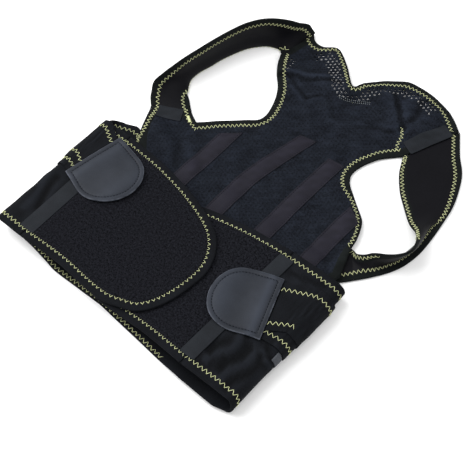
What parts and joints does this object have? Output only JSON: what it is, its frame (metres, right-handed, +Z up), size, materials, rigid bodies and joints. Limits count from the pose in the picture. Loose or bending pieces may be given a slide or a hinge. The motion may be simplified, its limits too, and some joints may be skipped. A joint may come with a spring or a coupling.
{
  "type": "posture corrector",
  "caption": "Back and shoulder posture corrector of perforated neoprene with padded straps, elastic pull tabs and a hook-and-loop waist belt, lying folded on its back.",
  "frame": {"origin": "on the resting surface, below the middle of the folded part", "axes": "+Z up from the surface, +Y along the spine from the waist belt to the neck, +X to the wearer's left"},
  "size_m": [0.3564, 0.4418, 0.0456],
  "materials": {
    "neoprene": "perforated matt knit",
    "belt_cloth": "matt brushed knit",
    "channel_tape": "fine twill, slight sheen",
    "loop_pile": "fuzzy loop pile",
    "seam_tape": "ribbed tape",
    "strap_satin": "smooth satin knit",
    "elastic": "ribbed elastic webbing",
    "tab_leather": "smooth coated, satin gloss"
  },
  "bodies": {
    "root": {"back_panel": "neoprene", "stay_channel_1": "channel_tape", "stay_channel_2": "channel_tape", "stay_channel_3": "channel_tape", "stay_channel_4": "channel_tape", "belt_back": "belt_cloth", "wing_right": "belt_cloth", "pile_right": "loop_pile", "seam_tape_right": "seam_tape", "wing_left": "belt_cloth", "pile_left": "loop_pile", "seam_tape_left": "seam_tape", "pull_tab_right": "tab_leather", "pull_tab_left": "tab_leather", "elastic_base_right": "elastic", "elastic_strap_right": "elastic", "elastic_base_left": "elastic", "elastic_strap_left": "elastic", "shoulder_strap_right": "strap_satin", "shoulder_strap_left": "strap_satin", "strap_tape_left": "seam_tape", "strap_tape_right": "seam_tape"}
  },
  "joints": []
}
